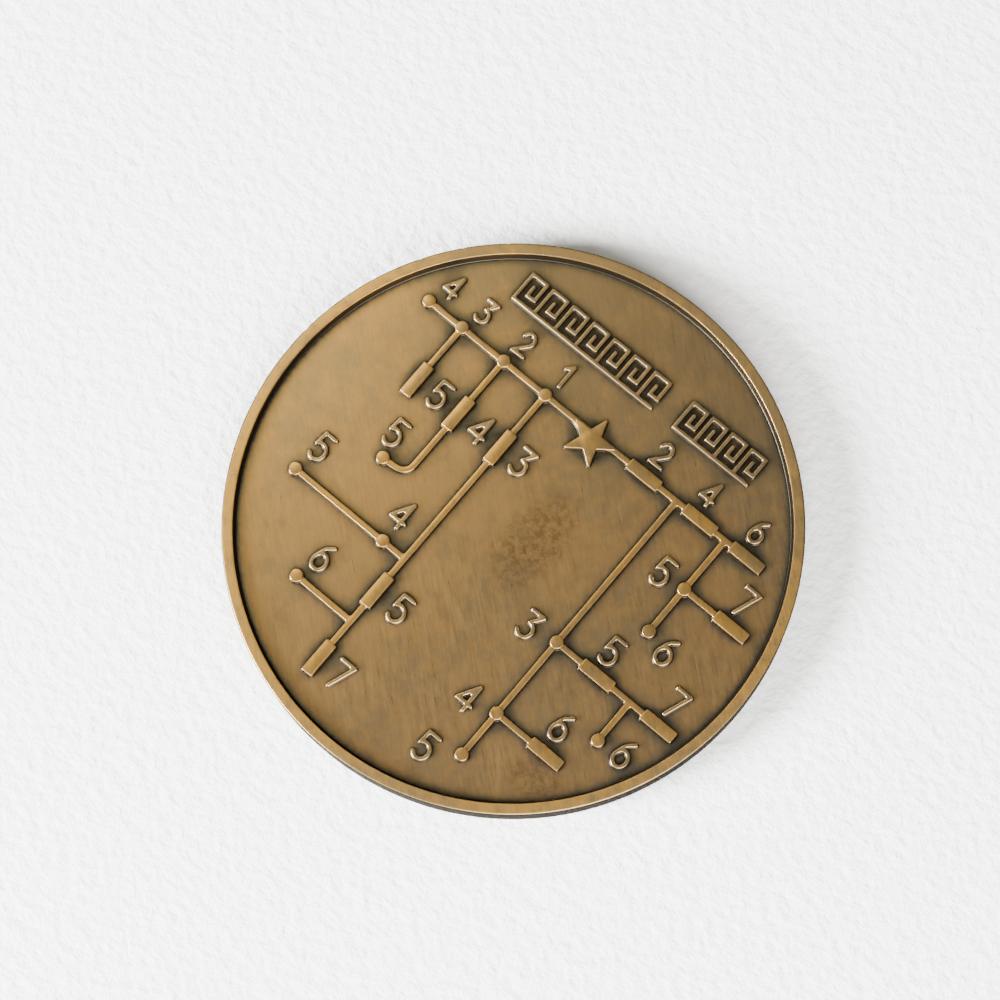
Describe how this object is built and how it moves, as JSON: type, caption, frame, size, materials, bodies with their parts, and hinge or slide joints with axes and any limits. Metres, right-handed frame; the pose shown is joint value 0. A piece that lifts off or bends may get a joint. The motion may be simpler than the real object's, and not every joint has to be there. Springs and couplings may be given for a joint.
{
  "type": "challenge coin",
  "caption": "Round struck commemorative coin in antiqued bronze, with a raised rim and a branching code chart of dots and bars in low relief.",
  "frame": {"origin": "centre of the reverse rim's flat, where the coin rests with its obverse up", "axes": "+Z out of the obverse, +X along the chart's reading direction, +Y towards the top of the design"},
  "size_m": [0.0444, 0.0444, 0.003],
  "materials": {
    "field_bronze": "antiqued bronze plate, dark toned and tumbled satin",
    "rim_bronze": "antiqued bronze plate, worn bright on the rim's flat",
    "relief_bronze": "antiqued bronze plate, rubbed back on the raised faces",
    "stroke_bronze": "antiqued bronze plate, rounded ridges rubbed back"
  },
  "bodies": {
    "root": {"bar_b": "relief_bronze", "bar_bb": "relief_bronze", "bar_bbb": "relief_bronze", "bar_bbdb": "relief_bronze", "bar_bdb": "relief_bronze", "bar_bdbb": "relief_bronze", "bar_bddb": "relief_bronze", "bar_db": "relief_bronze", "bar_dbb": "relief_bronze", "bar_dbbb": "relief_bronze", "bar_ddb": "relief_bronze", "bar_dddb": "relief_bronze", "dot_bbd": "relief_bronze", "dot_bbdd": "relief_bronze", "dot_bd": "relief_bronze", "dot_bdbd": "relief_bronze", "dot_bdd": "relief_bronze", "dot_bddd": "relief_bronze", "dot_d": "relief_bronze", "dot_dbbd": "relief_bronze", "dot_dbd": "relief_bronze", "dot_dbdd": "relief_bronze", "dot_dd": "relief_bronze", "dot_ddbd": "relief_bronze", "dot_ddd": "relief_bronze", "dot_dddd": "relief_bronze", "fret_long": "stroke_bronze", "fret_short": "stroke_bronze", "numeral_b": "stroke_bronze", "numeral_bb": "stroke_bronze", "numeral_bbb": "stroke_bronze", "numeral_bbd": "stroke_bronze", "numeral_bbdb": "stroke_bronze", "numeral_bbdd": "stroke_bronze", "numeral_bd": "stroke_bronze", "numeral_bdb": "stroke_bronze", "numeral_bdbb": "stroke_bronze", "numeral_bdbd": "stroke_bronze", "numeral_bdd": "stroke_bronze", "numeral_bddb": "stroke_bronze", "numeral_bddd": "stroke_bronze", "numeral_d": "stroke_bronze", "numeral_db": "stroke_bronze", "numeral_dbb": "stroke_bronze", "numeral_dbbb": "stroke_bronze", "numeral_dbbd": "stroke_bronze", "numeral_dbd": "stroke_bronze", "numeral_dbdd": "stroke_bronze", "numeral_dd": "stroke_bronze", "numeral_ddb": "stroke_bronze", "numeral_ddbd": "stroke_bronze", "numeral_ddd": "stroke_bronze", "numeral_dddb": "stroke_bronze", "numeral_dddd": "stroke_bronze", "planchet": "field_bronze", "reverse_emblem": "relief_bronze", "rim": "rim_bronze", "star": "relief_bronze", "tracks": "relief_bronze"}
  },
  "joints": []
}
